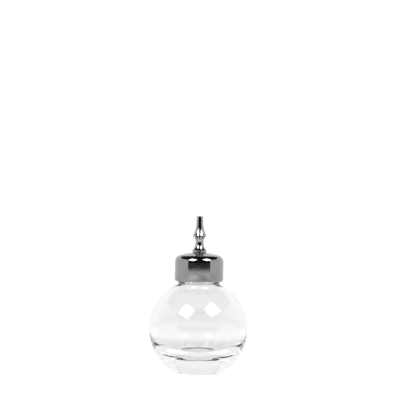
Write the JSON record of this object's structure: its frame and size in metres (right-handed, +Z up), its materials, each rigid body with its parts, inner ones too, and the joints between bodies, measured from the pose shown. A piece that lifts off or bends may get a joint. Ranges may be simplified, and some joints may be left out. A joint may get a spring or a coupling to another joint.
{
  "type": "dasher bottle",
  "caption": "Ball-shaped clear glass bottle with a thick base, a domed chrome screw cap and a slim turned baluster spout for dashing bitters.",
  "frame": {"origin": "centre of the ring that the ball stands on, in the plane of that ring", "axes": "+Z up along the axis of the ball, the neck and the spout; the object is round, so +X and +Y are any two level directions"},
  "size_m": [0.065, 0.065, 0.1038],
  "materials": {
    "clear_glass": "clear, fire polished",
    "cap_chrome": "polished plating",
    "insert_plastic": "natural moulded",
    "gasket_silicone": "translucent silicone",
    "spout_chrome": "polished plating",
    "fastener_steel": "stamped",
    "nut_brass": "turned"
  },
  "bodies": {
    "bottle": {"glass_bottle": "clear_glass"},
    "gasket": {"rim_gasket": "gasket_silicone"},
    "cap": {"cap_shell": "cap_chrome", "threaded_insert": "insert_plastic", "dasher_spout": "spout_chrome", "spout_seal": "gasket_silicone", "spout_washer": "fastener_steel", "spout_nut": "nut_brass"}
  },
  "joints": [
    {"name": "cap_lift", "type": "slide", "parent": "bottle", "child": "gasket", "axis": [0, 0, 1], "range_m": [0, 0.00525]},
    {"name": "cap_turn", "type": "hinge", "parent": "gasket", "child": "cap", "pos_m": [0, 0, 0.07], "axis": [0, 0, 1], "range_deg": [0, 450]}
  ],
  "couplings": [
    {"joint": "cap_lift", "follows": "cap_turn", "m_per_rad": 0.00066845}
  ]
}
